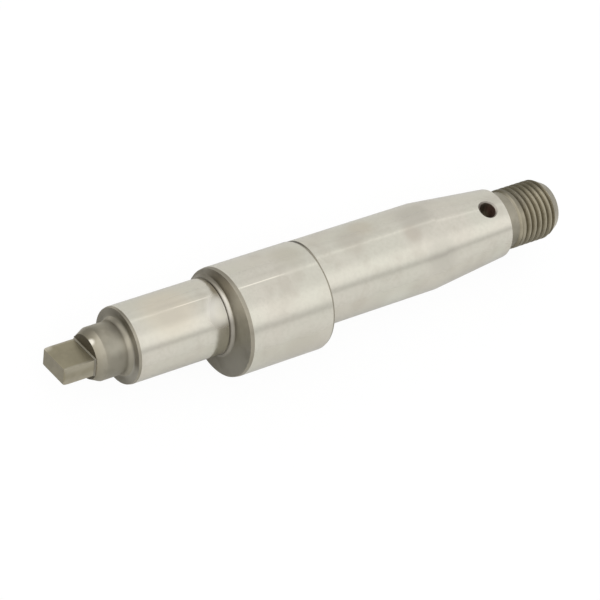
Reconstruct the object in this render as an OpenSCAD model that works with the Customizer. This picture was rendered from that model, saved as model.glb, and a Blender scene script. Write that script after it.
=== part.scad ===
// Eccentric drive shaft of a fuel injection pump, turned from one steel bar.
// The shaft's axis is X: the tang is at the low end and the thread at the high end.
// The origin is on the axis at the taper's large end, the plane its size is taken at.
// As modelled it lies at rest: the rear journal and the collar touch one level floor.

/* [Drive tang] */
// Length of the flat tang that turns the feed pump
tang_length = 7.6; // [4:0.1:14]
// Width of the tang across its two narrow sides
tang_width = 8.4; // [5:0.1:9]
// Thickness of the tang between its two drive flats
tang_thickness = 4; // [2:0.1:5]
// Chamfer of the tang's free end at its narrow sides
tang_side_chamfer = 0.6; // [0.2:0.05:1.2]
// Chamfer of the tang's free end at its drive flats
tang_flat_chamfer = 0.3; // [0.1:0.05:0.8]
// Fillet that the cutter leaves where a drive flat meets the stub
tang_fillet = 0.4; // [0.2:0.05:0.8]

/* [Stub] */
// Diameter of the stub that carries the tang
stub_diameter = 11.7; // [10.5:0.1:13]
// Length of the stub from the journal's face to its own face
stub_length = 8; // [5:0.1:16]
// Axial length of the long chamfer at the stub's free end
stub_chamfer_length = 1.95; // [0.5:0.05:3]
// Radial depth of the same chamfer
stub_chamfer_depth = 0.95; // [0.3:0.05:1.2]
// Fillet between the stub and the journal's face
stub_fillet = 0.6; // [0.4:0.1:1.6]

/* [Front journal] */
// Diameter of the ground front journal
front_diameter = 17; // [15.5:0.1:17.4]
// Length of the front journal from its own face to the collar
front_length = 23.5; // [12:0.5:40]
// Axial length of the lead-in at the journal's free end
front_lead_length = 0.6; // [0.2:0.1:2]
// Radial depth of the same lead-in
front_lead_depth = 0.15; // [0.05:0.05:0.5]
// Fillet radius between the journal and the collar's face
front_fillet = 0.4; // [0.2:0.05:0.4]

/* [Eccentric collar] */
// Diameter of the collar
collar_diameter = 24.2; // [23.8:0.1:26]
// Axial width of the collar
collar_width = 21.8; // [10:0.2:30]
// Distance of the collar's axis from the shaft's, half the pump's stroke
collar_throw = 3; // [2.3:0.1:3.2]
// Axial length of the lead-in at the collar's front edge
collar_lead_length = 0.9; // [0.3:0.1:2]
// Radial depth of the same lead-in
collar_lead_depth = 0.15; // [0.05:0.05:0.4]
// Axial length of the chamfer at the collar's rear edge
collar_rear_length = 0.5; // [0.1:0.1:1.5]
// Radial depth of the same chamfer
collar_rear_depth = 0.2; // [0.05:0.05:0.6]

/* [Rear journal] */
// Diameter of the ground rear journal and of the taper's large end
rear_diameter = 20; // [18.4:0.1:21.4]
// Length of the rear journal from the collar to the taper
rear_length = 34.5; // [20:0.5:50]
// Axial length of the grinding relief beside the collar
relief_width = 1.2; // [0.6:0.1:3]
// Radial depth of the relief
relief_depth = 0.2; // [0.1:0.05:0.5]

/* [Taper] */
// Length of the taper that the drive gear sits on
taper_length = 20.4; // [14:0.2:28]
// Length over which the taper's diameter falls by 1 mm
taper_ratio = 5; // [4.5:0.1:10]
// Chamfer at the taper's small end
taper_chamfer = 0.3; // [0.1:0.05:0.6]

/* [Pin hole] */
// Diameter of the hole for the gear's locating pin
pin_hole_diameter = 3.8; // [2:0.1:4.6]
// Depth of the hole's straight wall, from the taper's surface
pin_hole_depth = 8; // [4:0.1:10]
// Mouth diameter of the 90 degree countersink
pin_sink_diameter = 5; // [4.2:0.1:6.4]
// Distance of the hole's axis from the taper's small end
pin_hole_inset = 4.9; // [3.6:0.1:10]
// Angle of the hole round the shaft, from the collar's high side
pin_hole_angle = 65; // [0:1:180]
// Full angle of the drill point at the hole's bottom
pin_hole_point = 118; // [90:1:140]

/* [Threaded end] */
// Outside diameter of the thread
thread_diameter = 13.8; // [13:0.1:15]
// Length of the thread
thread_length = 11.7; // [8:0.1:20]
// Diameter of the smooth neck between the taper and the thread
neck_diameter = 12.9; // [11:0.1:12.9]
// Length of the neck
neck_length = 3.5; // [2:0.1:6]
// Axial length of the chamfer at the thread's free end
end_chamfer_length = 2.4; // [0.5:0.1:3]
// Radial depth of the same chamfer
end_chamfer_depth = 1.3; // [0.5:0.1:2]

/* [Hidden] */
$fn = 96;

// How far a joined shape reaches into its neighbour
overlap = 0.5;

stub_r = stub_diameter / 2;
front_r = front_diameter / 2;
collar_r = collar_diameter / 2;
rear_r = rear_diameter / 2;
thread_r = thread_diameter / 2;
neck_r = neck_diameter / 2;
pin_r = pin_hole_diameter / 2;
// Radius of the bar where it runs on inside the collar
core_r = front_r - overlap;

// Places along the axis, counted from the taper's large end
collar_rear_x = -rear_length;
collar_front_x = collar_rear_x - collar_width;
front_face_x = collar_front_x - front_length;
stub_face_x = front_face_x - stub_length;
tang_end_x = stub_face_x - tang_length;
taper_end_x = taper_length;
thread_start_x = taper_end_x + neck_length;
thread_end_x = thread_start_x + thread_length;

// The taper loses this much radius for each millimetre of its length
taper_fall = 1 / (2 * taper_ratio);
function taper_r(x) = rear_r - x * taper_fall;

// Turn round the axis, from +Y towards +Z, of the collar's high side:
// this far from upright, the collar's lowest line is level with the rear journal's
lean = acos(min(1, (collar_r - rear_r) / collar_throw));
high_side_turn = 90 + lean;
pin_hole_turn = high_side_turn - pin_hole_angle;
pin_hole_x = taper_end_x - pin_hole_inset;

// Turns a shape drawn round Z so that it lies round X
module along_shaft() {
  rotate([0, 90, 0]) children();
}

// Half section of a concave fillet between a shaft's surface at radius r and a wall:
// side is 1 where the wall lies towards +X and -1 where it lies towards -X
module fillet_section(r, x, fillet, side) {
  mirror([0, side > 0 ? 0 : 1])
    translate([r, side * x])
      difference() {
        translate([-overlap, -fillet]) square([fillet + overlap, fillet + overlap / 2]);
        translate([fillet, -fillet]) circle(fillet);
      }
}

// Half section of everything that is turned round the shaft's own axis
module turned_section() {
  polygon([
    [0, stub_face_x],
    [stub_r - stub_chamfer_depth, stub_face_x],
    [stub_r, stub_face_x + stub_chamfer_length],
    [stub_r, front_face_x],
    [front_r - front_lead_depth, front_face_x],
    [front_r, front_face_x + front_lead_length],
    [front_r, collar_front_x + overlap],
    [core_r, collar_front_x + overlap],
    [core_r, collar_rear_x],
    [rear_r - relief_depth, collar_rear_x],
    [rear_r - relief_depth, collar_rear_x + relief_width - relief_depth],
    [rear_r, collar_rear_x + relief_width],
    [rear_r, 0],
    [taper_r(taper_end_x - taper_chamfer), taper_end_x - taper_chamfer],
    [taper_r(taper_end_x - taper_chamfer) - taper_chamfer, taper_end_x],
    [neck_r, taper_end_x],
    [neck_r, thread_start_x - (thread_r - neck_r)],
    [thread_r, thread_start_x],
    [thread_r, thread_end_x - end_chamfer_length],
    [thread_r - end_chamfer_depth, thread_end_x],
    [0, thread_end_x]
  ]);
  fillet_section(stub_r, front_face_x, stub_fillet, 1);
  fillet_section(front_r, collar_front_x, front_fillet, 1);
}

// Half section of the collar round its own axis
module collar_section() {
  polygon([
    [0, collar_front_x],
    [collar_r - collar_lead_depth, collar_front_x],
    [collar_r, collar_front_x + collar_lead_length],
    [collar_r, collar_rear_x - collar_rear_length],
    [collar_r - collar_rear_depth, collar_rear_x],
    [0, collar_rear_x]
  ]);
}

module turned_bar() {
  along_shaft() rotate_extrude() turned_section();
}

// Moves a shape from the shaft's own axis to the collar's axis
module on_collar_axis() {
  rotate([high_side_turn, 0, 0]) translate([0, collar_throw, 0]) children();
}

module eccentric_collar() {
  on_collar_axis() along_shaft() rotate_extrude() collar_section();
}

// Side outline of the tang, with both corners of its free end cut off
module tang_outline(width, chamfer) {
  half = width / 2;
  polygon([
    [tang_end_x, chamfer - half],
    [tang_end_x + chamfer, -half],
    [stub_face_x + overlap, -half],
    [stub_face_x + overlap, half],
    [tang_end_x + chamfer, half],
    [tang_end_x, half - chamfer]
  ]);
}

// Fillet along the foot of the drive flat on the tang's upper side
module tang_foot_fillet() {
  translate([stub_face_x, 0, tang_thickness / 2])
    rotate([90, 0, 0])
      linear_extrude(tang_width, center = true)
        difference() {
          translate([-tang_fillet, -overlap]) square([tang_fillet + overlap, tang_fillet + overlap]);
          translate([-tang_fillet, tang_fillet]) circle(tang_fillet);
        }
}

// The tang lies across the shaft in line with the collar's high side
module drive_tang() {
  rotate([high_side_turn, 0, 0]) {
    intersection() {
      linear_extrude(tang_thickness, center = true) tang_outline(tang_width, tang_side_chamfer);
      rotate([90, 0, 0])
        linear_extrude(tang_width, center = true) tang_outline(tang_thickness, tang_flat_chamfer);
    }
    tang_foot_fillet();
    mirror([0, 0, 1]) tang_foot_fillet();
  }
}

// Drilled and countersunk hole, square to the shaft's axis
module pin_hole() {
  mouth_r = pin_sink_diameter / 2;
  surface_r = taper_r(pin_hole_x);
  point_height = pin_r / tan(pin_hole_point / 2);
  rotate([pin_hole_turn - 90, 0, 0])
    translate([pin_hole_x, 0, surface_r]) {
      translate([0, 0, -pin_hole_depth]) cylinder(r = pin_r, h = pin_hole_depth + overlap);
      translate([0, 0, -pin_hole_depth - point_height]) cylinder(r1 = 0, r2 = pin_r, h = point_height);
      translate([0, 0, pin_r - mouth_r]) cylinder(r1 = pin_r, r2 = mouth_r + overlap, h = mouth_r - pin_r + overlap);
    }
}

module pump_shaft() {
  color([0.74, 0.73, 0.69])
    difference() {
      union() {
        turned_bar();
        eccentric_collar();
        drive_tang();
      }
      pin_hole();
    }
}

pump_shaft();
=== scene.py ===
# %% [markdown]
# The shaft of a fuel injection pump, finished in Blender.
# The part is one steel bar that was turned, milled, drilled, threaded and then ground where it
# runs in its bearings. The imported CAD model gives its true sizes. Here the same shaft is modelled
# again as one closed piece that also has the fine thread, the broken edges and the finishes of
# the steel: bright where it was ground, and duller and darker where it wasn't.

import math

import bmesh
import bpy
from mathutils import Matrix, Vector


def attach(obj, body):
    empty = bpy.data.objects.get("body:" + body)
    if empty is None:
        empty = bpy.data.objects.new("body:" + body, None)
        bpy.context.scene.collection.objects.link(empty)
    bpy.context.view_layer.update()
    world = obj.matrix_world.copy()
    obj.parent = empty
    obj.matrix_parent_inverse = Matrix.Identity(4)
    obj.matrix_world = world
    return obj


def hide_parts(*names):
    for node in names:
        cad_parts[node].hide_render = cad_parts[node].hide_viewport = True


PER_METRE = 1000.0
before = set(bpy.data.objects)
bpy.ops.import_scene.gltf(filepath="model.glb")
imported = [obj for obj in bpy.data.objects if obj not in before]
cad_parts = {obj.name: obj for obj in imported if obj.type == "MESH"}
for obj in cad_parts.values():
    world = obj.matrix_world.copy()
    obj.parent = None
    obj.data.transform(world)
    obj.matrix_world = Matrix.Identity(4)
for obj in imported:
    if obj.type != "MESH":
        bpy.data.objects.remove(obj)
bpy.context.view_layer.update()

# %% [markdown]
# A lathe works from one drawing: a list of places along the bar, each with its radius.
# The shaft lies along X, with the tang at the low end and zero at the large end of the taper.
# Every value below is in millimetres. Blender works in metres, so MM turns one into the other.
# The collar's axis stands off the shaft's by the throw. The shaft rests on its rear journal and
# its collar, whose lowest lines are level, and that gives the direction of the collar's high side.

# %% Sizes of the shaft
MM = 0.001
TANG_END, STUB_FACE, JOURNAL_FACE = -95.4, -87.8, -79.8
COLLAR_FRONT, COLLAR_REAR, TAPER_END, SHAFT_END = -56.3, -34.5, 20.4, 35.6
STUB_R, FRONT_R, CORE_R = 5.85, 8.5, 8.0
COLLAR_R, COLLAR_THROW = 12.1, 3.0
REAR_R, RELIEF_R, NECK_R, THREAD_R = 10.0, 9.8, 6.45, 6.9
TAPER_FALL = 0.1
HIGH_SIDE = math.degrees(math.acos((COLLAR_R - REAR_R) / COLLAR_THROW)) + 90


def taper_r(x):
    """Radius of the taper at the place x."""
    return REAR_R - x * TAPER_FALL


print("shaft length:", round(SHAFT_END - TANG_END, 2), "mm")
print("the collar's high side is turned", round(HIGH_SIDE, 2), "degrees from +Y towards +Z")

# %% [markdown]
# No edge on a real turned part is perfectly sharp, and no inside corner is either: the tool's tip
# has a radius. So each corner of a section carries a radius of its own, and this helper puts a
# short arc in its place. A Bevel modifier could do it too, but here the radii differ from corner
# to corner, from 0.08 to 1.2 mm.

# %% Round the corners of a section
ARC_STEP = 15


def rounded(section):
    """Turns (x, r, corner radius) rows into (x, r) rows, with an arc where there is a radius."""
    points = []
    for i, (x, r, corner) in enumerate(section):
        here = Vector((x, r))
        if corner == 0 or i in (0, len(section) - 1):
            points.append(here)
            continue
        back = (Vector(section[i - 1][:2]) - here).normalized()
        on = (Vector(section[i + 1][:2]) - here).normalized()
        opening = back.angle(on)
        reach = corner / math.tan(opening / 2)
        centre = here + (back + on).normalized() * (corner / math.sin(opening / 2))
        first, last = here + back * reach - centre, here + on * reach - centre
        steps = max(2, math.ceil(math.degrees(math.pi - opening) / ARC_STEP))
        for k in range(steps + 1):
            arm = (first * (1 - k / steps) + last * (k / steps)).normalized() * corner
            points.append(centre + arm)
    return [(p.x, p.y) for p in points]


square_corner = rounded([(0, 5, 0), (5, 5, 1), (5, 0, 0)])
print("a square corner with a radius becomes", len(square_corner) - 2, "points")

# %% [markdown]
# Every turned shape is made in the same way. A round face is added at one end and extruded from
# station to station, resized each time to the radius of the drawing, as a turner works along the
# bar. A step, where only the radius changes, is the same move with no travel. Spinning a half
# section would give the same surface; extruding a face keeps the mesh closed from the first move.
# An edge that doesn't join two faces would be a hole in the skin, so a helper counts such edges.

# %% Turn a shape round an axis
ROUND_STEPS = 192


def only(name):
    """Deselects everything, then makes the named object the active one."""
    bpy.ops.object.select_all(action="DESELECT")
    bpy.data.objects[name].select_set(True)
    bpy.context.view_layer.objects.active = bpy.data.objects[name]


def turned(name, points, off_axis=(0.0, 0.0), steps=ROUND_STEPS):
    """A closed turned solid along X through (x, r) points, its axis off_axis from the shaft's."""
    bpy.ops.object.select_all(action="DESELECT")
    x, r = points[0]
    bpy.ops.mesh.primitive_circle_add(
        vertices=steps,
        radius=r * MM,
        fill_type="NGON",
        location=(x * MM, off_axis[0] * MM, off_axis[1] * MM),
        rotation=(0, math.pi / 2, 0),
    )
    bpy.context.object.name = name
    bpy.ops.object.transform_apply(location=True, rotation=True, scale=True)
    bpy.ops.object.mode_set(mode="EDIT")
    bpy.ops.mesh.select_all(action="SELECT")
    for next_x, next_r in points[1:]:
        bpy.ops.mesh.extrude_region_move(
            TRANSFORM_OT_translate={"value": ((next_x - x) * MM, 0, 0)}
        )
        bpy.ops.transform.resize(
            value=(1, next_r / r, next_r / r),
            center_override=(next_x * MM, off_axis[0] * MM, off_axis[1] * MM),
        )
        x, r = next_x, next_r
    bpy.ops.mesh.select_all(action="SELECT")
    bpy.ops.mesh.normals_make_consistent(inside=False)
    bpy.ops.object.mode_set(mode="OBJECT")
    return bpy.data.objects[name]


def open_edges(shape):
    """How many edges of a mesh don't join exactly two faces."""
    mesh = bmesh.new()
    mesh.from_mesh(shape.data)
    count = sum(1 for edge in mesh.edges if len(edge.link_faces) != 2)
    mesh.free()
    return count


def report(stage, shape):
    """Prints how many faces and open edges a shape has at a stage of the work."""
    print(stage + ":", len(shape.data.polygons), "faces,", open_edges(shape), "open edges")


facet = COLLAR_R * (1 - math.cos(math.pi / ROUND_STEPS))
print("the sides of a round stand back from the true circle by", round(facet, 4), "mm at most")

# %% [markdown]
# The bar runs from the stub's face to the threaded end. It has the stub with its long chamfer,
# the front journal, the rear journal with a grinding relief at its foot, the taper, the neck and
# the plain cylinder that the thread is cut in. Just short of the collar's foot a fine groove shows
# where the grinding wheel stopped, and the first stretch behind the collar it never reached.
# Each row is a place, a radius and the radius of the corner there. The collar will cover the
# stretch between the journals, so there the bar is only a core that stays inside it.

# %% Turn the bar
EDGE, STUB_EDGE, SOFT_EDGE, TAPER_EDGE = 0.08, 0.12, 0.3, 0.5
FILLET, STUB_FILLET, START_R = 0.8, 1.2, 0.5
STUB_CHAMFER, STUB_CHAMFER_DEPTH = 1.95, 0.95
JOURNAL_LEAD, JOURNAL_LEAD_DEPTH = 0.6, 0.15
WHEEL_STOP = COLLAR_FRONT - 0.82
GROOVE_START, GROOVE_FLOOR, GROOVE_FLOOR_END, GROOVE_DEPTH = 0.2, 0.14, 0.06, 0.15
CORE_LEAD, CORE_RISE, OVERLAP = 0.4, 0.25, 0.04
RELIEF_FLOOR, RELIEF_END, UNREACHED = 1.0, 1.2, 2.2
TAPER_CHAMFER = 0.3
NECK_PLAIN, NECK_LENGTH = 3.05, 3.5
END_CHAMFER, END_CHAMFER_DEPTH = 2.4, 1.3
taper_end_r = taper_r(TAPER_END - TAPER_CHAMFER)
bar_section = [
    (STUB_FACE, START_R, 0),
    (STUB_FACE, STUB_R - STUB_CHAMFER_DEPTH, STUB_EDGE),
    (STUB_FACE + STUB_CHAMFER, STUB_R, SOFT_EDGE),
    (JOURNAL_FACE, STUB_R, STUB_FILLET),
    (JOURNAL_FACE, FRONT_R - JOURNAL_LEAD_DEPTH, EDGE),
    (JOURNAL_FACE + JOURNAL_LEAD, FRONT_R, EDGE),
    (WHEEL_STOP - GROOVE_START, FRONT_R, 0),
    (WHEEL_STOP - GROOVE_FLOOR, FRONT_R - GROOVE_DEPTH, 0),
    (WHEEL_STOP - GROOVE_FLOOR_END, FRONT_R - GROOVE_DEPTH, 0),
    (WHEEL_STOP, FRONT_R, 0),
    (COLLAR_FRONT, FRONT_R, FILLET),
    (COLLAR_FRONT, FRONT_R + FILLET, 0),
    (COLLAR_FRONT + CORE_LEAD, FRONT_R + CORE_RISE, 0),
    (COLLAR_REAR - OVERLAP, CORE_R, 0),
    (COLLAR_REAR - OVERLAP, RELIEF_R, 0),
    (COLLAR_REAR + RELIEF_FLOOR, RELIEF_R, EDGE),
    (COLLAR_REAR + RELIEF_END, REAR_R, EDGE),
    (COLLAR_REAR + UNREACHED, REAR_R, 0),
    (0.0, REAR_R, TAPER_EDGE),
    (TAPER_END - TAPER_CHAMFER, taper_end_r, EDGE),
    (TAPER_END, taper_end_r - TAPER_CHAMFER, EDGE),
    (TAPER_END, NECK_R, EDGE),
    (TAPER_END + NECK_PLAIN, NECK_R, EDGE),
    (TAPER_END + NECK_LENGTH, THREAD_R, EDGE),
    (SHAFT_END - END_CHAMFER, THREAD_R, EDGE),
    (SHAFT_END, THREAD_R - END_CHAMFER_DEPTH, EDGE),
    (SHAFT_END, START_R, 0),
]
shaft = turned("pump_shaft_finished", rounded(bar_section))
report("bar", shaft)

# %% [markdown]
# The eccentric collar drives the pump's plunger. On the lathe the bar is clamped 3 mm off its
# centre for this cut, so in Blender the same turning helper runs round an axis that stands 3 mm
# off, towards the collar's high side. A Boolean union will join it to the bar: sliding some of
# the bar's own rings sideways would leave the steps beside them skew. The collar's low side falls
# below the rear journal, as on the real shaft.

# %% Turn the collar
LEAD_LENGTH, LEAD_DEPTH = 0.9, 0.15
REAR_LENGTH, REAR_DEPTH = 0.5, 0.2


def toward(turn, distance):
    """The Y and Z of a point that far from the axis, at a turn from +Y towards +Z."""
    return (
        distance * math.cos(math.radians(turn)),
        distance * math.sin(math.radians(turn)),
    )


collar_axis = toward(HIGH_SIDE, COLLAR_THROW)
collar_section = [
    (COLLAR_FRONT, START_R, 0),
    (COLLAR_FRONT, COLLAR_R - LEAD_DEPTH, EDGE),
    (COLLAR_FRONT + LEAD_LENGTH, COLLAR_R, SOFT_EDGE),
    (COLLAR_REAR - REAR_LENGTH, COLLAR_R, EDGE),
    (COLLAR_REAR, COLLAR_R - REAR_DEPTH, EDGE),
    (COLLAR_REAR, START_R, 0),
]
collar = turned("collar", rounded(collar_section), collar_axis)
report("collar", collar)
print("the collar's axis is at", [round(v, 2) for v in collar_axis])

# %% [markdown]
# The tool leaves a fillet between the front journal and the collar's face, which keeps the shaft
# from cracking there. On the collar's low side the fillet is taller than the collar, so on the
# real shaft the collar's lead-in cuts it off. Here the lead-in cone is drawn on forwards, the ring
# of space outside it is cut from the bar, and then the collar is joined on.

# %% Trim the fillet, then join the collar
TRIM_R, TRIM_BEFORE, TRIM_BEHIND = 14.0, 1.4, 0.6
CONE_BEFORE, CONE_BEHIND = 1.6, 0.8


def bool_with(shape, other, operation):
    """Joins another solid to a shape, or cuts it away, and removes the other solid."""
    only(shape.name)
    step = shape.modifiers.new("step", "BOOLEAN")
    step.operation, step.solver, step.object = operation, "EXACT", other
    bpy.ops.object.modifier_apply(modifier=step.name)
    bpy.data.objects.remove(other)


trim_ends = [(COLLAR_FRONT - TRIM_BEFORE, TRIM_R), (COLLAR_FRONT + TRIM_BEHIND, TRIM_R)]
trim = turned("trim", trim_ends, collar_axis)
lead_cone = [
    (x, COLLAR_R - LEAD_DEPTH + (x - COLLAR_FRONT) * LEAD_DEPTH / LEAD_LENGTH)
    for x in (COLLAR_FRONT - CONE_BEFORE, COLLAR_FRONT + CONE_BEHIND)
]
bool_with(trim, turned("lead_cone", lead_cone, collar_axis), "DIFFERENCE")
bool_with(shaft, trim, "DIFFERENCE")
bool_with(shaft, collar, "UNION")
report("with the collar", shaft)

# %% [markdown]
# In edit mode an operator works on what is selected. By hand the faces and edges would be clicked.
# In a script they are picked by a test on the place of their middle, and the helper gives back
# how many it found, so that a test that misses shows at once.

# %% Pick faces and edges
NEAR = 0.01


def pick(shape, what, test):
    """In edit mode, selects the faces or edges whose middle passes the test."""
    bpy.ops.mesh.select_all(action="DESELECT")
    mesh = bmesh.from_edit_mesh(shape.data)
    mesh.select_mode = {"FACE"} if what == "faces" else {"EDGE"}
    chosen = 0
    for part in mesh.faces if what == "faces" else mesh.edges:
        points = [v.co / MM for v in part.verts]
        if test(sum(points, Vector()) / len(points), part):
            part.select_set(True)
            chosen += 1
    mesh.select_flush_mode()
    bmesh.update_edit_mesh(shape.data)
    return chosen


print("a middle counts as on a plane when it is within", NEAR, "mm of it")

# %% [markdown]
# The tang is milled: two flats leave a blade 4 mm thick across the end of the stub, and it turns
# the feed pump. It starts as a block at its true size. Its foot is extruded and flared in small
# moves, which gives the fillet that the cutter leaves. A bevel after the union could give it too,
# but there the Boolean leaves uneven edges to bevel.

# %% Mill the tang
TANG_WIDTH, TANG_THICKNESS, TANG_FILLET, SIDE_FLARE = 8.4, 4.0, 0.4, 0.7
FLARE_STEPS, FLARE_SHARE, FOOT_REACH = 7, 0.93, 0.4
half_thick, half_wide = TANG_THICKNESS / 2, TANG_WIDTH / 2
foot = STUB_FACE - TANG_FILLET
bpy.ops.object.select_all(action="DESELECT")
bpy.ops.mesh.primitive_cube_add(
    size=1,
    location=((TANG_END + foot) / 2 * MM, 0, 0),
    scale=((foot - TANG_END) * MM, TANG_WIDTH * MM, TANG_THICKNESS * MM),
)
tang = bpy.context.object
tang.name = "tang"
bpy.ops.object.transform_apply(location=True, rotation=True, scale=True)
bpy.ops.object.mode_set(mode="EDIT")
pick(tang, "faces", lambda middle, face: abs(middle.x - foot) < NEAR)
at, half, side = foot, half_thick, half_wide
for k in range(1, FLARE_STEPS + 1):
    sweep = math.radians(90 * k / FLARE_STEPS * FLARE_SHARE)
    next_at = foot + TANG_FILLET * math.sin(sweep)
    flare = TANG_FILLET * (1 - math.cos(sweep))
    next_half, next_side = half_thick + flare, half_wide + flare * SIDE_FLARE
    bpy.ops.mesh.extrude_region_move(
        TRANSFORM_OT_translate={"value": ((next_at - at) * MM, 0, 0)}
    )
    bpy.ops.transform.resize(
        value=(1, next_side / side, next_half / half), center_override=(next_at * MM, 0, 0)
    )
    at, half, side = next_at, next_half, next_side
bpy.ops.mesh.extrude_region_move(
    TRANSFORM_OT_translate={"value": ((STUB_FACE + FOOT_REACH - at) * MM, 0, 0)}
)
print("tang foot flared to", round(half * 2, 2), "by", round(side * 2, 2), "mm")

# %% [markdown]
# The tang's free end is chamfered so that it finds its slot: deeper on the narrow sides, less on
# the drive flats, and its long corners are only broken. The bevel operator does this best while
# the tang is still a plain block. Then the tang is turned in line with the collar's high side,
# and a union joins it to the stub.

# %% Chamfer the tang's free end and join it
NARROW_CHAMFER, FLAT_CHAMFER, LONG_EDGE = 0.6, 0.25, 0.12
END_ZONE, BULGE = 0.65, 0.6


def on_flat(middle):
    """True where the middle of an edge lies in the plane of a drive flat."""
    return abs(abs(middle.z) - half_thick) < NEAR


ends = pick(
    tang, "edges", lambda m, edge: abs(m.x - TANG_END) < NEAR and abs(m.y) > half_wide - NEAR
)
bpy.ops.mesh.bevel(offset=NARROW_CHAMFER * MM, segments=3, profile=BULGE)
flats = pick(
    tang,
    "edges",
    lambda m, edge: on_flat(m)
    and all(abs(v.co.x / MM - TANG_END) < END_ZONE for v in edge.verts),
)
bpy.ops.mesh.bevel(offset=FLAT_CHAMFER * MM, segments=2, profile=BULGE)
sides = pick(tang, "edges", lambda m, edge: on_flat(m) and abs(abs(m.y) - half_wide) < NEAR)
bpy.ops.mesh.bevel(offset=LONG_EDGE * MM, segments=2, profile=BULGE)
bpy.ops.mesh.select_all(action="SELECT")
bpy.ops.mesh.normals_make_consistent(inside=False)
bpy.ops.object.mode_set(mode="OBJECT")
tang.rotation_euler = (math.radians(HIGH_SIDE), 0, 0)
bpy.ops.object.transform_apply(location=True, rotation=True, scale=True)
print("tang edges bevelled:", ends, flats, sides)
report("tang", tang)
bool_with(shaft, tang, "UNION")
report("with the tang", shaft)

# %% [markdown]
# The pin hole locates the drive gear. A drill makes it square to the shaft, its point leaves a
# cone at the bottom, and a 90 degree countersink breaks its mouth. A cylinder and two cones could
# be cut one by one, but the turning helper makes the whole drill at once, lying along X.
# It is then stood up, turned to its place round the shaft and subtracted.

# %% Drill the pin hole
PIN_X, PIN_R, PIN_DEPTH, PIN_MOUTH_R = TAPER_END - 4.9, 1.9, 8.0, 2.5
PIN_TURN = HIGH_SIDE - 65
POINT_LENGTH, POINT_R, SINK_EDGE, ABOVE, DRILL_STEPS = 1.1, 0.05, 0.1, 0.8, 96
pin_surface = taper_r(PIN_X)
drill_section = [
    (pin_surface - PIN_DEPTH - POINT_LENGTH, POINT_R, 0),
    (pin_surface - PIN_DEPTH, PIN_R, 0),
    (pin_surface - (PIN_MOUTH_R - PIN_R), PIN_R, SINK_EDGE),
    (pin_surface + ABOVE, PIN_MOUTH_R + ABOVE, 0),
]
drill = turned("drill", rounded(drill_section), steps=DRILL_STEPS)
drill.rotation_euler = (0, -math.pi / 2, 0)
bpy.ops.object.transform_apply(location=True, rotation=True, scale=True)
drill.rotation_euler = (math.radians(PIN_TURN - 90), 0, 0)
drill.location = (PIN_X * MM, 0, 0)
bpy.ops.object.transform_apply(location=True, rotation=True, scale=True)
bool_with(shaft, drill, "DIFFERENCE")
report("with the pin hole", shaft)

# %% [markdown]
# The thread is a right-handed metric one with a pitch of 1.5 mm. A die or a tool cuts a 60 degree
# groove that winds round the bar, so a wedge that winds round it in the same way is made here with
# a Screw modifier, to be cut away. Rings without a pitch would be simpler, but they don't run out
# at the ends as a thread does.

# %% Wind the thread cutter
PITCH, CREST_FLAT, THREAD_ROOT_R, WEDGE_TOP_R = 1.5, 0.3, 6.08, 7.04
THREAD_START, THREAD_STOP, TURN_STEPS = 24.01, 34.35, 96
FLANK = math.tan(math.radians(30))
wedge_height = WEDGE_TOP_R - THREAD_ROOT_R
root_half = (PITCH - CREST_FLAT) / 2 - (THREAD_R - THREAD_ROOT_R) * FLANK
top_half = root_half + wedge_height * FLANK
turn_count = math.ceil((THREAD_STOP - THREAD_START) / PITCH * TURN_STEPS) / TURN_STEPS

bpy.ops.object.select_all(action="DESELECT")
bpy.ops.mesh.primitive_plane_add(
    size=wedge_height * MM,
    location=(THREAD_START * MM, 0, (WEDGE_TOP_R + THREAD_ROOT_R) / 2 * MM),
    rotation=(math.pi / 2, 0, 0),
)
wedge = bpy.context.object
wedge.name = "thread_wedge"
bpy.ops.object.transform_apply(location=True, rotation=True, scale=True)
bpy.ops.object.mode_set(mode="EDIT")
for level, half_width in ((THREAD_ROOT_R, root_half), (WEDGE_TOP_R, top_half)):
    pick(wedge, "edges", lambda m, edge: abs(m.z - level) < NEAR)
    bpy.ops.transform.resize(
        value=(half_width * 2 / wedge_height, 1, 1),
        center_override=(THREAD_START * MM, 0, level * MM),
    )
bpy.ops.mesh.select_all(action="SELECT")
bpy.ops.mesh.delete(type="ONLY_FACE")
bpy.ops.object.mode_set(mode="OBJECT")
winding = wedge.modifiers.new("winding", "SCREW")
winding.axis, winding.use_normal_calculate = "X", True
winding.angle, winding.screw_offset = 2 * math.pi * turn_count, PITCH * turn_count * MM
winding.steps = winding.render_steps = round(TURN_STEPS * turn_count)
only(wedge.name)
bpy.ops.object.modifier_apply(modifier=winding.name)
print("thread turns:", round(turn_count, 2), "root half width", round(root_half, 3), "mm")

# %% [markdown]
# Before it reaches the neck, the tool is drawn out of the metal, so the groove gets shallower over
# its last three quarters of a turn. At the free end it fades too, over a little less than half a
# turn. The wedge has the same four corners in every ring, so it is lifted there ring by ring. Then
# its two ends are closed and it is cut from the bar.

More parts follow.
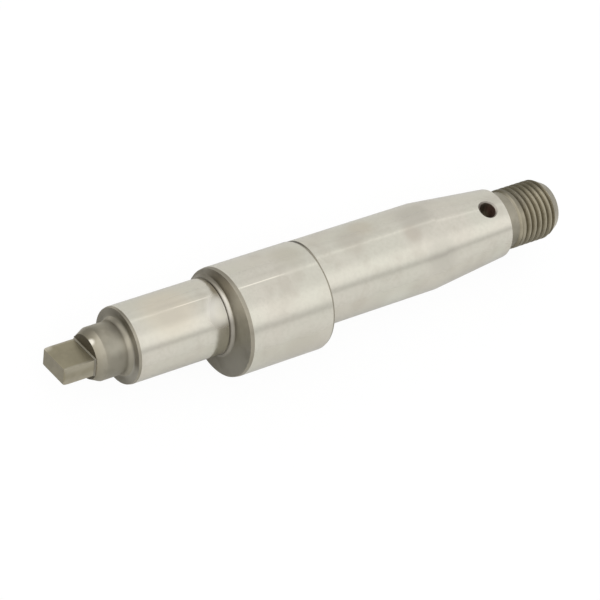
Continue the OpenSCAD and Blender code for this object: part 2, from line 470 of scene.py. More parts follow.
# %% Lift the wedge at both ends, then cut the thread
RUN_OUT, FADE, CLEAR, FADE_LIFT, CORNERS = 0.75, 0.45, 0.03, 0.34, 4
run_out, fade = round(RUN_OUT * TURN_STEPS), round(FADE * TURN_STEPS)
full_lift = THREAD_R + CLEAR - THREAD_ROOT_R
last = len(wedge.data.vertices) // CORNERS - 1
lifts = {ring: full_lift * (1 - ring / run_out) for ring in range(run_out)}
lifts.update({last - ring: FADE_LIFT * (1 - ring / fade) for ring in range(fade)})
bpy.ops.object.mode_set(mode="EDIT")
bpy.ops.mesh.select_mode(type="VERT")
for ring, lift in lifts.items():
    bpy.ops.mesh.select_all(action="DESELECT")
    mesh = bmesh.from_edit_mesh(wedge.data)
    mesh.verts.ensure_lookup_table()
    for corner in mesh.verts[ring * CORNERS : (ring + 1) * CORNERS]:
        corner.select_set(True)
    bmesh.update_edit_mesh(wedge.data)
    rise = 1 + lift / THREAD_ROOT_R
    bpy.ops.transform.resize(value=(1, rise, rise), center_override=(0, 0, 0))
bpy.ops.mesh.select_all(action="SELECT")
bpy.ops.mesh.fill_holes(sides=CORNERS)
bpy.ops.mesh.select_all(action="SELECT")
bpy.ops.mesh.normals_make_consistent(inside=False)
bpy.ops.object.mode_set(mode="OBJECT")
first = wedge.data.vertices[0].co / MM
quarter = wedge.data.vertices[CORNERS * (TURN_STEPS // 4)].co / MM
report("wedge", wedge)
print("the wedge starts at", tuple(round(c, 2) for c in first))
print("a quarter turn on, a right-handed groove is at -Y:", tuple(round(c, 2) for c in quarter))
bool_with(shaft, wedge, "DIFFERENCE")
report("with the thread", shaft)

# %% [markdown]
# The Boolean leaves long faces beside very small ones, and plain smooth shading would bend the
# light across them. So the piece is smoothed by angle, which keeps the true edges, and a Weighted
# Normal modifier lets the large faces set the shading. The small arcs at the edges then catch a
# thin line of light, as broken edges do.

# %% Smooth the surface
MERGE, THINNEST, SHARP_ANGLE = 0.002, 0.001, 32
only(shaft.name)
bpy.ops.object.mode_set(mode="EDIT")
bpy.ops.mesh.select_all(action="SELECT")
bpy.ops.mesh.remove_doubles(threshold=MERGE * MM)
bpy.ops.mesh.select_all(action="SELECT")
bpy.ops.mesh.dissolve_degenerate(threshold=THINNEST * MM)
bpy.ops.object.mode_set(mode="OBJECT")
bpy.ops.object.shade_smooth_by_angle(angle=math.radians(SHARP_ANGLE))
weights = shaft.modifiers.new("weights", "WEIGHTED_NORMAL")
weights.mode, weights.weight, weights.keep_sharp = "FACE_AREA", 50, True
bpy.ops.object.modifier_apply(modifier=weights.name)
report("finished mesh", shaft)
print("triangles:", sum(len(p.vertices) - 2 for p in shaft.data.polygons))

# %% [markdown]
# Materials are made of nodes. Five short helpers keep the recipes below readable: one adds a node,
# one starts a node group with named sockets, one does arithmetic, one makes a soft step between
# two values, and one says what a group became. A group is built once and then placed in each
# material with its own values, so that a change to it reaches every finish.


# %% Node helpers
def socket_node(tree, kind, **settings):
    """Adds a node and sets its properties."""
    node = tree.nodes.new(kind)
    for key, value in settings.items():
        setattr(node, key, value)
    return node


def new_group(name, inputs, outputs):
    """A shader node group with named sockets, and its two end nodes."""
    group = bpy.data.node_groups.new(name, "ShaderNodeTree")
    for label, kind, default in inputs:
        made = group.interface.new_socket(label, in_out="INPUT", socket_type=kind)
        if default is not None:
            made.default_value = default
    for label, kind in outputs:
        group.interface.new_socket(label, in_out="OUTPUT", socket_type=kind)
    return group, group.nodes.new("NodeGroupInput"), group.nodes.new("NodeGroupOutput")


def math_node(tree, operation, a, b=None, c=None):
    """A Math node whose inputs are links or numbers. Gives back its output."""
    node = socket_node(tree, "ShaderNodeMath", operation=operation)
    for slot, value in enumerate((a, b, c)):
        if isinstance(value, (int, float)):
            node.inputs[slot].default_value = value
        elif value is not None:
            tree.links.new(value, node.inputs[slot])
    return node.outputs[0]


def ramp_between(tree, value, low, high):
    """A smooth step: 0 on the side of low, 1 on the side of high, whichever of them is larger."""
    node = socket_node(tree, "ShaderNodeMapRange", interpolation_type="SMOOTHSTEP")
    node.inputs["From Min"].default_value, node.inputs["From Max"].default_value = low, high
    tree.links.new(value, node.inputs["Value"])
    return node.outputs["Result"]


def told(group):
    """Prints the size of a finished group of nodes."""
    print("node group", group.name, "has", len(group.nodes), "nodes")


# %% [markdown]
# The unground finishes need to know how far a point is from the shaft's axis, because a rubbed
# crest stands further out than a groove. This node group measures that from Object coordinates,
# in millimetres. It also tells the side, from 1 on the +Y side to -1 on the -Y side, which the
# thread's painted shade uses: its colour is darkened towards both sides.

# %% Distance from the axis
radius_group, radius_in, radius_out = new_group(
    "distance_from_axis", [], [("Radius mm", "NodeSocketFloat"), ("Side", "NodeSocketFloat")]
)
coords = socket_node(radius_group, "ShaderNodeTexCoord")
split = socket_node(radius_group, "ShaderNodeSeparateXYZ")
radius_group.links.new(coords.outputs["Object"], split.inputs[0])
across = math_node(radius_group, "MULTIPLY", split.outputs["Y"], split.outputs["Y"])
upright = math_node(radius_group, "MULTIPLY", split.outputs["Z"], split.outputs["Z"])
distance = math_node(radius_group, "SQRT", math_node(radius_group, "ADD", across, upright))
in_mm = math_node(radius_group, "MULTIPLY", distance, PER_METRE)
radius_group.links.new(in_mm, radius_out.inputs["Radius mm"])
side_share = math_node(radius_group, "DIVIDE", split.outputs["Y"], distance)
radius_group.links.new(side_share, radius_out.inputs["Side"])
told(radius_group)

# %% [markdown]
# Steel that has been handled and stored carries soft patches where oil dried or fingers touched
# it. A noise that is cut off softly gives islands with blurred borders, and a second, slower noise
# lets a colour drift. The same group serves every finish, each with its own size and borders.

# %% Stain patches
DRIFT_SEED, DRIFT_SLOWER = 3.7, 0.6
stain_group, stain_in, stain_out = new_group(
    "stain_patches",
    [
        ("Size mm", "NodeSocketFloat", 6.0),
        ("Low", "NodeSocketFloat", 0.5),
        ("High", "NodeSocketFloat", 0.65),
    ],
    [("Patches", "NodeSocketFloat"), ("Drift", "NodeSocketFloat")],
)
coords = socket_node(stain_group, "ShaderNodeTexCoord")
scale = math_node(stain_group, "DIVIDE", PER_METRE, stain_in.outputs["Size mm"])
patch_noise = socket_node(stain_group, "ShaderNodeTexNoise")
patch_noise.inputs["Detail"].default_value = 3.0
patch_noise.inputs["Roughness"].default_value = 0.55
drift_noise = socket_node(stain_group, "ShaderNodeTexNoise", noise_dimensions="4D")
drift_noise.inputs["W"].default_value = DRIFT_SEED
drift_noise.inputs["Detail"].default_value = 2.0
slower = math_node(stain_group, "MULTIPLY", scale, DRIFT_SLOWER)
for noise, noise_scale in ((patch_noise, scale), (drift_noise, slower)):
    stain_group.links.new(coords.outputs["Object"], noise.inputs["Vector"])
    stain_group.links.new(noise_scale, noise.inputs["Scale"])
edges = socket_node(stain_group, "ShaderNodeMapRange", interpolation_type="SMOOTHSTEP")
stain_group.links.new(patch_noise.outputs["Fac"], edges.inputs["Value"])
stain_group.links.new(stain_in.outputs["Low"], edges.inputs["From Min"])
stain_group.links.new(stain_in.outputs["High"], edges.inputs["From Max"])
stain_group.links.new(edges.outputs["Result"], stain_out.inputs["Patches"])
stain_group.links.new(drift_noise.outputs["Fac"], stain_out.inputs["Drift"])
told(stain_group)

# %% [markdown]
# Some marks have a place of their own: a dull cloud of old oil, a spot that handling rubbed
# bright, and also painted highlights and painted shade. This group gives a round mask with a soft
# border about a point of the shaft. Painting them on an image would work too, but this needs no
# unwrapping and stays soft from near.

# %% Soft spot
FULL_INSIDE = 0.3
spot_group, spot_in, spot_out = new_group(
    "soft_spot",
    [("Place mm", "NodeSocketVector", None), ("Size mm", "NodeSocketFloat", 5.0)],
    [("Mask", "NodeSocketFloat")],
)
coords = socket_node(spot_group, "ShaderNodeTexCoord")
in_mm = socket_node(spot_group, "ShaderNodeVectorMath", operation="SCALE")
in_mm.inputs["Scale"].default_value = PER_METRE
away = socket_node(spot_group, "ShaderNodeVectorMath", operation="DISTANCE")
spot_group.links.new(coords.outputs["Object"], in_mm.inputs[0])
spot_group.links.new(in_mm.outputs["Vector"], away.inputs[0])
spot_group.links.new(spot_in.outputs["Place mm"], away.inputs[1])
share = math_node(spot_group, "DIVIDE", away.outputs["Value"], spot_in.outputs["Size mm"])
mask = ramp_between(spot_group, share, 1.0, FULL_INSIDE)
spot_group.links.new(mask, spot_out.inputs["Mask"])
told(spot_group)

# %% [markdown]
# A lathe tool and a grinding wheel both leave rings round the shaft. They are far too fine to
# model, so a noise is squeezed along X until it becomes rings a tenth of a millimetre or so apart.
# It drives a very low bump and a small change of roughness.

# %% Tool rings
ACROSS_RINGS = 60.0
rings_group, rings_in, rings_out = new_group(
    "tool_rings", [("Rings per mm", "NodeSocketFloat", 8.0)], [("Height", "NodeSocketFloat")]
)
coords = socket_node(rings_group, "ShaderNodeTexCoord")
squeeze = socket_node(rings_group, "ShaderNodeCombineXYZ")
split = socket_node(rings_group, "ShaderNodeSeparateXYZ")
rings_group.links.new(coords.outputs["Object"], split.inputs[0])
along = math_node(rings_group, "MULTIPLY", split.outputs["X"], rings_in.outputs["Rings per mm"])
rings_group.links.new(math_node(rings_group, "MULTIPLY", along, PER_METRE), squeeze.inputs["X"])
for axis in ("Y", "Z"):
    stretched = math_node(rings_group, "MULTIPLY", split.outputs[axis], ACROSS_RINGS)
    rings_group.links.new(stretched, squeeze.inputs[axis])
ring_noise = socket_node(rings_group, "ShaderNodeTexNoise")
ring_noise.inputs["Scale"].default_value = 1.0
ring_noise.inputs["Detail"].default_value = 3.0
rings_group.links.new(squeeze.outputs[0], ring_noise.inputs["Vector"])
rings_group.links.new(ring_noise.outputs["Fac"], rings_out.inputs["Height"])
told(rings_group)

# %% [markdown]
# A finish is built up in layers: bare steel, then stains, painted side shade and spots, then the
# fine rings. Some of the spots are painted light and shade. These helpers start a metal, mix two
# colours, place a group, lay spots over a colour and add the bump of the rings.


# %% Layers of a finish
def new_metal(name):
    """A metallic material. Gives back the material, its node tree and its shader."""
    made = bpy.data.materials.new(name)
    made.use_nodes = True
    shader = made.node_tree.nodes["Principled BSDF"]
    shader.inputs["Metallic"].default_value = 1.0
    return made, made.node_tree, shader


def mixed(tree, factor, first, second):
    """Mixes two colours, each a link or an (r, g, b), by a factor."""
    node = socket_node(tree, "ShaderNodeMix", data_type="RGBA")
    tree.links.new(factor, node.inputs["Factor"])
    for label, value in (("A", first), ("B", second)):
        socket = next(s for s in node.inputs if s.name == label and s.type == "RGBA")
        if isinstance(value, tuple):
            socket.default_value = (*value, 1.0)
        else:
            tree.links.new(value, socket)
    return next(s for s in node.outputs if s.type == "RGBA")


def placed(tree, group, **values):
    """Puts a node group into a material with its own values."""
    node = socket_node(tree, "ShaderNodeGroup", node_tree=group)
    for label, value in values.items():
        node.inputs[label.replace("_", " ")].default_value = value
    return node


def spotted(tree, colour, spots):
    """Lays soft spots over a colour. Each is (x, turn, radius, size, colour, strength)."""
    for x, turn, radius, size, tint, strength in spots:
        spot = placed(tree, spot_group, Place_mm=(x, *toward(turn, radius)), Size_mm=size)
        amount = math_node(tree, "MULTIPLY", spot.outputs["Mask"], strength)
        colour = mixed(tree, amount, colour, tint)
    return colour


def bumped(tree, shader, height, strength, depth):
    """Lets a height bend the light on the surface a little, as fine rings do."""
    bump = socket_node(tree, "ShaderNodeBump")
    bump.inputs["Strength"].default_value = strength
    bump.inputs["Distance"].default_value = depth
    tree.links.new(height, bump.inputs["Height"])
    tree.links.new(bump.outputs["Normal"], shader.inputs["Normal"])


# %% [markdown]
# Ground steel. The journals, the collar and the taper were ground after hardening, so they are
# bright and reflect their surroundings in long soft bands. The colour is a warm light grey that
# drifts a little between patches and is speckled with fine pores. The stains are both darker and
# rougher, because a film of dried oil dulls the reflection, and spots stand where marks have a
# place of their own. Two spots are painted light: a pale patch on the rear journal's -Y side,
# against the shade there, and a bright patch before the collar's foot, a painted reflection.

# %% Colour of the ground steel
WARM, COOL = (0.745, 0.725, 0.628), (0.758, 0.719, 0.628)
PORE, OIL = (0.60, 0.57, 0.49), (0.60, 0.55, 0.47)
PORE_STRENGTH, OIL_STRENGTH = 0.17, 0.45
ground, tree, steel = new_metal("ground_steel")
stains = placed(tree, stain_group, Size_mm=8.0, Low=0.48, High=0.74)
pores = placed(tree, stain_group, Size_mm=0.8, Low=0.4, High=0.7)
drift = ramp_between(tree, stains.outputs["Drift"], 0.35, 0.65)
clean = mixed(tree, drift, WARM, COOL)
pitted = math_node(tree, "MULTIPLY", pores.outputs["Patches"], PORE_STRENGTH)
speckled = mixed(tree, pitted, clean, PORE)
faint = math_node(tree, "MULTIPLY", stains.outputs["Patches"], OIL_STRENGTH)
oiled = mixed(tree, faint, speckled, OIL)
ground_spots_and_painted_light = [
    (-7.0, 73, 10.0, 3.2, (0.60, 0.54, 0.46), 0.65),
    (-4.0, 49, 10.0, 6.5, (0.58, 0.55, 0.48), 0.6),
    (-17.5, 38, 10.0, 4.5, (0.66, 0.60, 0.49), 0.6),
    (-1.2, 113, 10.0, 6.0, (0.60, 0.575, 0.50), 0.6),
    # Painted light: a pale patch on the rear journal's -Y side, against the shade there.
    (-13.0, 160, 10.0, 5.0, (0.84, 0.83, 0.73), 0.7),
    (-40.0, 57, 12.3, 5.0, (0.65, 0.61, 0.51), 0.6),
    (-43.0, 150, 15.0, 7.0, (0.66, 0.62, 0.53), 0.6),
    (-70.0, 64, 8.5, 9.0, (0.79, 0.72, 0.585), 0.7),
    (-24.0, 143, 10.0, 3.0, (0.66, 0.61, 0.52), 0.5),
    (-22.0, 57, 10.0, 5.0, (0.60, 0.55, 0.47), 0.5),
    (-70.0, 74, 8.5, 5.0, (0.66, 0.61, 0.52), 0.4),
    # Painted reflection: the bright patch where the journal mirrors the lit fillet.
    (-58.3, 90, 8.5, 4.6, (0.93, 0.905, 0.83), 1.0),
]
tree.links.new(spotted(tree, oiled, ground_spots_and_painted_light), steel.inputs["Base Color"])
print("ground steel carries", len(ground_spots_and_painted_light), "spots")

# %% [markdown]
# The gloss of the ground steel. Roughness rises a little with the stains and the rings. On the
# front journal and the collar handling has rubbed a place smoother, and there a bright strip of
# the light shows as a thin line. A third place, just before the collar's foot, is duller: it
# catches light from all round. Each row is x, turn, radius, size and the change of roughness.

# %% Gloss of the ground steel
GLOSS, STAIN_DULL, RING_DULL = 0.15, 0.06, 0.05
RING_BUMP, RING_HEIGHT = 0.06, 0.00002
marks = placed(tree, rings_group, Rings_per_mm=9.0)
dull = math_node(tree, "MULTIPLY_ADD", stains.outputs["Patches"], STAIN_DULL, GLOSS)
gloss = math_node(tree, "MULTIPLY_ADD", marks.outputs["Height"], RING_DULL, dull)
rubbed_places = [
    (-64.0, 66, 8.5, 6.5, -0.85),
    (-49.5, 78, 13.4, 8.5, -0.85),
    (-58.3, 90, 8.5, 4.6, 2.6),
]
for x, turn, radius, size, change in rubbed_places:
    spot = placed(tree, spot_group, Place_mm=(x, *toward(turn, radius)), Size_mm=size)
    keep = math_node(tree, "MULTIPLY_ADD", spot.outputs["Mask"], change, 1.0)
    gloss = math_node(tree, "MULTIPLY", gloss, keep)
tree.links.new(gloss, steel.inputs["Roughness"])
bumped(tree, steel, marks.outputs["Height"], RING_BUMP, RING_HEIGHT)
print(ground.name, "has", len(tree.nodes), "nodes")

# %% [markdown]
# Unground steel. The tang, the stub, the shoulders, the neck and the thread kept the skin of the
# heat treatment, an olive brown grey with little gloss. Handling has rubbed it lighter where it
# stands out, so the distance from the axis drives the wear. Blotches, painted shade towards the
# sides and spots, some of them painted light and shade, lie over it. One function makes all these
# skins: only the colours, the radii that wear, the roughness, the side shade and the spots differ.

# %% Unground steel
# SIDE_SHADE is painted shade: the colour a skin is darkened to towards its +Y and -Y sides.
SIDE_SHADE = (0.11, 0.095, 0.06)
BLOTCH, BLOTCH_DARK = 0.25, 0.62
FAR_SIDE, NEAR_SIDE, NEAR_SHARE = (0.33, 0.9), (-0.7, -1.0), 0.6
GRAIN_DULL, RUBBED_GLOSS = 0.12, -0.06
GRAIN_BUMP, GRAIN_HEIGHT = 0.15, 0.00004


def unground(name, dark, rubbed, wear, rough, side_shade_share=0.0, spots=()):
    """A dull steel rubbed lighter over the wear radii, with painted side shade and spots over it.
    """
    made, tree, skin = new_metal(name)
    radius = placed(tree, radius_group)
    blotches = placed(tree, stain_group, Size_mm=2.6, Low=0.42, High=0.68)
    marks = placed(tree, rings_group, Rings_per_mm=5.0)
    rubbing = ramp_between(tree, radius.outputs["Radius mm"], *wear)
    worn = mixed(tree, rubbing, dark, rubbed)
    shade = math_node(tree, "MULTIPLY", blotches.outputs["Patches"], BLOTCH)
    darker = tuple(channel * BLOTCH_DARK for channel in dark)
    stained = mixed(tree, shade, worn, darker)
    # Painted shade: the colour darkens towards the +Y side and, less, towards the -Y side.
    far_side = ramp_between(tree, radius.outputs["Side"], *FAR_SIDE)
    near_side = ramp_between(tree, radius.outputs["Side"], *NEAR_SIDE)
    sides = math_node(tree, "MULTIPLY_ADD", near_side, NEAR_SHARE, far_side)
    side_shaded = mixed(tree, math_node(tree, "MULTIPLY", sides, side_shade_share), stained, SIDE_SHADE)
    tree.links.new(spotted(tree, side_shaded, spots), skin.inputs["Base Color"])
    grain = math_node(tree, "MULTIPLY_ADD", marks.outputs["Height"], GRAIN_DULL, rough)
    gloss = math_node(tree, "MULTIPLY_ADD", rubbing, RUBBED_GLOSS, grain)
    tree.links.new(gloss, skin.inputs["Roughness"])
    bumped(tree, skin, marks.outputs["Height"], GRAIN_BUMP, GRAIN_HEIGHT)
    print(made.name, "carries", len(spots), "spots")
    return made


# %% [markdown]
# The spots of each skin. Many are painted light and shade: dark where shade falls in corners and
# on sides turned from the light, pale where a face or an edge would catch more light. The others
# only make the skin darker or paler in one place.

# %% Spots on the unground steel
# The colour of a painted glint on an edge.
PAINTED_GLINT = (0.85, 0.81, 0.72)
unground_spots_and_painted_light = [
    (-87.0, 38, 5.4, 3.6, (0.15, 0.135, 0.10), 0.66),
    # Painted highlight: a glint on the rim of the stub's chamfer.
    (-87.7, 64, 5.05, 1.1, PAINTED_GLINT, 0.65),
    # Painted shade: darker on the stub's -Y side.
    (-83.0, 138, 5.85, 5.0, (0.25, 0.235, 0.19), 0.55),
    # Painted highlight on the side of the stub that faces up.
    (-83.5, 92, 5.85, 3.0, (0.47, 0.45, 0.38), 0.35),
    # Painted shade in the corner of the stub's fillet at the journal's face.
    (-80.1, 54, 6.8, 4.6, (0.15, 0.138, 0.11), 0.7),
    # Painted shade on the neck, in the corner beside the taper's end.
    (22.0, 161, 6.45, 5.4, (0.20, 0.185, 0.14), 0.7),
    (34.6, 165, 6.3, 7.0, (0.62, 0.57, 0.46), 0.75),
    (-55.9, 48, 12.6, 9.0, (0.20, 0.18, 0.145), 0.5),
    # Painted shade: nearly black just behind the collar's rear edge, on its +Y side.
    (-34.0, 13, 10.6, 9.5, (0.05, 0.046, 0.036), 0.75),
]
thread_spots = [(23.9, 60, 6.9, 5.0, (0.23, 0.21, 0.165), 0.75)]
shoulder_painted_light_and_shade = [
    # Painted light and shade, all six: dark on the collar's face at +Y, on the journal's face
    # beside the stub and at the tang's foot; pale on the faces' -Y sides and on top of the
    # journal's face.
    (-56.3, 60, 10.6, 7.2, (0.125, 0.108, 0.08), 0.76),
    (-79.8, 45, 7.2, 5.2, (0.15, 0.135, 0.10), 0.65),
    (-79.8, 160, 7.5, 5.0, (0.46, 0.44, 0.385), 0.75),
    (-79.8, 108, 7.8, 3.8, (0.43, 0.41, 0.365), 0.7),
    (-56.3, 165, 10.0, 6.0, (0.38, 0.36, 0.31), 0.6),
    (-88.0, HIGH_SIDE - 90, 2.2, 5.5, (0.19, 0.175, 0.135), 0.8),
]
# Painted highlight: a glint on the corner of the tang's free end.
tang_painted_glint = [(-94.9, HIGH_SIDE - 164, 4.3, 2.0, (0.70, 0.66, 0.55), 0.8)]
# Painted light and shade on the collar's fillet: a pale patch where it faces up, dark at +Y.
fillet_painted_light_and_shade = [
    (-56.7, 87, 8.7, 4.4, (0.64, 0.61, 0.54), 0.72),
    (-56.7, 36, 8.7, 6.6, (0.19, 0.172, 0.135), 0.75),
]
# Painted light: paler patches on the painted shade at the tang's two narrow sides.
corner_painted_light = [
    (STUB_FACE, turn, 4.6, 2.4, (0.58, 0.53, 0.43), 0.9) for turn in (HIGH_SIDE, HIGH_SIDE + 180)
]
hole_spots = [(PIN_X + PIN_R, PIN_TURN, 6.4, 2.4, (0.42, 0.25, 0.21), 0.8)]
print("spots on the shoulders:", len(shoulder_painted_light_and_shade), "and on the stub:", len(unground_spots_and_painted_light))

# %% [markdown]
# The skins, from the most common to the smallest. The shoulders are a greyer steel, the thread
# carries painted shade on its sides between rubbed crests, and the tang is olive. The collar's
# fillet is glossier than its surroundings, the corner round the tang's foot is painted dark as
# shade, and the drilled hole is a little brown below its paler countersink.

# %% Make the skins
finishes = [
    ground,
    unground(
        "unground_steel",
        dark=(0.33, 0.30, 0.23),
        rubbed=(0.395, 0.365, 0.293),
        wear=(4.6, 5.8),
        rough=0.40,
        spots=unground_spots_and_painted_light,
    ),
    unground(
        "turned_shoulder",
        dark=(0.285, 0.265, 0.22),
        rubbed=(0.32, 0.30, 0.255),
        wear=(6, 12),
        rough=0.36,
        spots=shoulder_painted_light_and_shade,
    ),
    unground(
        "threaded_steel",
        dark=(0.30, 0.268, 0.195),
        rubbed=(0.42, 0.38, 0.285),
        wear=(6.2, 6.85),
        rough=0.40,
        # The thread carries painted shade towards both sides.
        side_shade_share=0.85,
        spots=thread_spots,
    ),
    unground(
        "milled_tang",
        dark=(0.34, 0.306, 0.215),
        rubbed=(0.44, 0.405, 0.315),
        wear=(4.0, 4.4),
        rough=0.40,
        spots=tang_painted_glint,
    ),
    unground(
        "collar_fillet",
        dark=(0.36, 0.335, 0.285),
        rubbed=(0.36, 0.335, 0.285),
        wear=(8, 9),
        rough=0.30,
        spots=fillet_painted_light_and_shade,
    ),
    # The stub's end face round the tang's foot: dark painted shade, a little paler outwards.
    unground(
        "painted_shade_corner",
        dark=(0.13, 0.115, 0.085),
        rubbed=(0.17, 0.15, 0.115),
        wear=(4, 9),
        rough=0.5,
        spots=corner_painted_light,
    ),
    unground(
        "drilled_hole",
        dark=(0.38, 0.33, 0.26),
        rubbed=(0.38, 0.33, 0.26),
        wear=(8, 9),
        rough=0.45,
        spots=hole_spots,
    ),
    unground(
        "countersink",
        dark=(0.39, 0.36, 0.315),
        rubbed=(0.39, 0.36, 0.315),
        wear=(8, 9),
        rough=0.38,
    ),
]

# %% [markdown]
# One mesh can carry several finishes. Each face gets the number of its material from its place and
# its direction, which is surer than painting, because the shaft's stations are known. Faces that
# look along the shaft are shoulders, which the wheel never touches. The groove where it stopped,
# the collar's edges and the first stretch behind the collar stay unground too, and what is left is
# ground. HAIR lets the last faces of a corner's arc count with the face beside it.

# %% Which finish a face has
GROUND, UNGROUND, SHOULDER, THREADED, TANG, FILLET_SKIN, PAINTED_SHADE, HOLE, SINK = range(9)
HAIR, SINK_HAIR, HOLE_HAIR = 0.02, 0.05, 0.04
FACES_ALONG, FACES_OUT = 0.85, 0.9
THREADED_FROM, BARE_CHAMFER, CHAMFER_LEAN, STUB_REACH = 3.2, 2.0, 0.3, 0.5
pin_way = Vector((0, *toward(PIN_TURN, 1)))


def finish_of(middle, normal):
    """The number of the finish of a face, from its middle in millimetres and its direction."""
    off_pin = (middle - Vector((PIN_X, 0, 0))).cross(pin_way).length
    at_hole = off_pin < PIN_MOUTH_R + SINK_HAIR and middle.dot(pin_way) > 0
    if at_hole and abs(normal.dot(pin_way)) < FACES_OUT:
        return HOLE if off_pin < PIN_R + HOLE_HAIR else SINK
    if middle.x > TAPER_END - HAIR:
        on_chamfer = middle.x > SHAFT_END - BARE_CHAMFER and normal.x > CHAMFER_LEAN
        return THREADED if middle.x > TAPER_END + THREADED_FROM and not on_chamfer else UNGROUND
    if middle.x < STUB_FACE - HAIR:
        if normal.x < -FACES_ALONG:
            return UNGROUND
        return SHOULDER if middle.x > foot + NEAR else TANG
    if WHEEL_STOP - GROOVE_START < middle.x < WHEEL_STOP - NEAR:
        return SHOULDER
    if WHEEL_STOP < middle.x < COLLAR_FRONT - HAIR:
        return FILLET_SKIN
    if abs(normal.x) > FACES_ALONG:
        # Faces that look along the shaft at the stub's end get the painted shade of the corner.
        return SHOULDER if middle.x > STUB_FACE + STUB_REACH else PAINTED_SHADE
    on_stub = middle.x < JOURNAL_FACE + JOURNAL_LEAD + HAIR
    on_lead = 0 < middle.x - COLLAR_FRONT < LEAD_LENGTH - HAIR
    behind_collar = NEAR - REAR_LENGTH < middle.x - COLLAR_REAR < UNREACHED
    return UNGROUND if on_stub or on_lead or behind_collar else GROUND


print("the hole looks out at", [round(v, 2) for v in pin_way])

# %% [markdown]
# The finishes go into the mesh in the order of their numbers, and then each face gets its own.
# The finished piece takes the place of the CAD model's one node, and because the shaft is one
# piece with no joints, it rides on the root body.

# %% Give each face its finish
shaft.data.materials.clear()
for finish in finishes:
    shaft.data.materials.append(finish)
tally = [0] * len(finishes)
for face in shaft.data.polygons:
    face.material_index = finish_of(face.center / MM, face.normal)
    tally[face.material_index] += 1
for finish, count in zip(finishes, tally):
    print(finish.name, "is on", count, "faces")

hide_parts("pump_shaft")
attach(shaft, "root")

# %% [markdown]
# The shaft lies on a plain pale floor. In its own right the floor is a light grey card that takes
# a soft shadow. For what the camera sees directly most of it is replaced by plain white, so that
# the background is white and a faint shadow still shows where the steel comes near the floor.
# In reflections it stays a grey card.

# %% Floor
FLOOR_METRES, CARD_GREY, GLOW, GLOW_SHARE = 6.0, (0.70, 0.70, 0.69, 1), 1.04, 0.9
bpy.ops.object.select_all(action="DESELECT")
bpy.ops.mesh.primitive_plane_add(size=FLOOR_METRES, location=(0, 0, -REAR_R * MM))
floor = bpy.context.object
floor.name = "floor"
card = bpy.data.materials.new("pale_card")
card.use_nodes = True
tree = card.node_tree
tree.nodes.clear()
surface = socket_node(tree, "ShaderNodeOutputMaterial")
blend = socket_node(tree, "ShaderNodeMixShader")
matt = socket_node(tree, "ShaderNodeBsdfDiffuse")
matt.inputs["Color"].default_value = CARD_GREY
glow = socket_node(tree, "ShaderNodeEmission")
glow.inputs["Strength"].default_value = GLOW
path = socket_node(tree, "ShaderNodeLightPath")
seen = math_node(tree, "MULTIPLY", path.outputs["Is Camera Ray"], GLOW_SHARE)
tree.links.new(seen, blend.inputs["Fac"])
tree.links.new(matt.outputs[0], blend.inputs[1])
tree.links.new(glow.outputs[0], blend.inputs[2])
tree.links.new(blend.outputs[0], surface.inputs["Surface"])
floor.data.materials.append(card)
print("floor at", -REAR_R, "mm, under the rear journal and the collar")

# %% [markdown]
# Polished steel looks like what surrounds it, so the light is planned as a soft tent of white
# cloth over the shaft. Lamps would give hard bright lines instead of the calm bands of the
# photograph. A world shader does it: the angle of a direction round the shaft's axis goes through
# a colour ramp. From the floor on one side over the top to the other, the tent has grey walls, one
# narrow bright strip, a broad bright panel overhead and a thin darker seam beside it. A second
# ramp adds a soft panel past the tang's end, for the faces that look that way.
# The tent is bright from all sides, so colours render about as they are written.

# %% Light tent
TENT = [
    (0, 0.72),
    (14, 0.78),
    (24, 0.74),
    (34, 0.81),
    (37.4, 0.82),
    (37.8, 1.2),
    (39.8, 1.2),
    (40.2, 0.82),
    (50, 0.84),
    (74, 0.84),
    (86, 0.93),
    (93, 1.0),
    (112, 1.0),
    (120, 0.92),
    (126, 0.74),
    (130, 0.63),
    (135, 0.63),
    (140, 0.80),
    (152, 0.81),
    (166, 0.80),
    (180, 0.75),
]
PANEL = [(0, 0.5), (25, 0.9), (40, 0.9), (75, 0.35), (112, 0.25), (150, 0.1), (180, 0.05)]
HALF_TURN, PAST_TANG, WHITE = 180, (-0.15, 0.2), (1.0, 1.0, 1.0)
world = bpy.data.worlds.new("light_tent")
bpy.context.scene.world = world
world.use_nodes = True
tree = world.node_tree
tree.nodes.clear()
direction = socket_node(tree, "ShaderNodeTexCoord")
split = socket_node(tree, "ShaderNodeSeparateXYZ")
tree.links.new(direction.outputs["Generated"], split.inputs[0])
turn = math_node(tree, "ARCTAN2", split.outputs["Z"], split.outputs["Y"])
turn_share = math_node(tree, "DIVIDE", turn, math.pi)


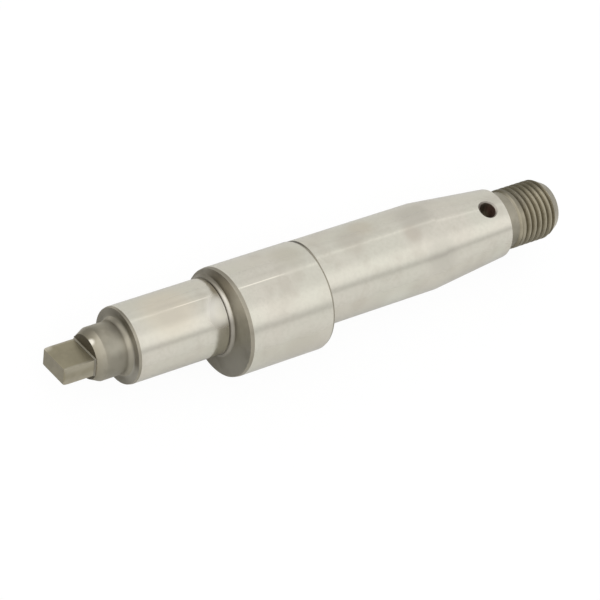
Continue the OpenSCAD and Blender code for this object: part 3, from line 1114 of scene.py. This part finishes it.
def by_angle(tree, stops):
    """A colour ramp over the angle round X, through (degrees, level) stops."""
    ramp = socket_node(tree, "ShaderNodeValToRGB")
    elements = ramp.color_ramp.elements
    while len(elements) > 1:
        elements.remove(elements[-1])
    for k, (degrees, level) in enumerate(stops):
        stop = elements[0] if k == 0 else elements.new(degrees / HALF_TURN)
        stop.position, stop.color = degrees / HALF_TURN, (level, level, level, 1)
    tree.links.new(turn_share, ramp.inputs[0])
    return ramp.outputs["Color"]


cloth = by_angle(tree, TENT)
panel = by_angle(tree, PANEL)
tangward = math_node(tree, "MULTIPLY", split.outputs["X"], -1.0)
past_tang = ramp_between(tree, tangward, *PAST_TANG)
light = math_node(tree, "MULTIPLY_ADD", panel, past_tang, cloth)
path = socket_node(tree, "ShaderNodeLightPath")
background = mixed(tree, path.outputs["Is Camera Ray"], light, WHITE)
shine = socket_node(tree, "ShaderNodeBackground")
sky = socket_node(tree, "ShaderNodeOutputWorld")
tree.links.new(background, shine.inputs["Color"])
tree.links.new(shine.outputs[0], sky.inputs["Surface"])
print("tent stops:", len(TENT), "and panel stops:", len(PANEL))

# %% [markdown]
# The camera looks down on the shaft from the tang's end with a long lens, so the perspective is
# slight. It is rolled, because the photograph shows the shaft climbing from lower left to upper
# right. Its place and its two directions are written down, and the third follows from them.

# %% Camera
EYE = Vector((-0.36737, -0.02906, 0.54138))
RIGHT, UP = Vector((0.809, -0.3383, 0.4817)), Vector((0.268, 0.9404, 0.2105))
LENS_MM, SENSOR_MM, NEAREST, FURTHEST = 176.95, 36.0, 0.05, 20.0
RIGHT.normalize()
UP = (UP - RIGHT * UP.dot(RIGHT)).normalized()
BACK = RIGHT.cross(UP)
lens = bpy.data.cameras.new("camera")
lens.lens, lens.sensor_width = LENS_MM, SENSOR_MM
lens.clip_start, lens.clip_end = NEAREST, FURTHEST
camera = bpy.data.objects.new("camera", lens)
bpy.context.scene.collection.objects.link(camera)
turned_axes = Matrix((RIGHT, UP, BACK)).transposed().to_4x4()
camera.matrix_world = Matrix.Translation(EYE) @ turned_axes
bpy.context.scene.camera = camera
bpy.context.scene.view_settings.view_transform = "Standard"
print("camera to the taper's large end:", round(EYE.length * PER_METRE), "mm")

# %% [markdown]
# The box round the finished shaft has to be the CAD model's box, or the piece wouldn't fit where
# the part fits. The last step only brings the view layer up to date.

# %% Bring the view layer up to date
bpy.context.view_layer.update()
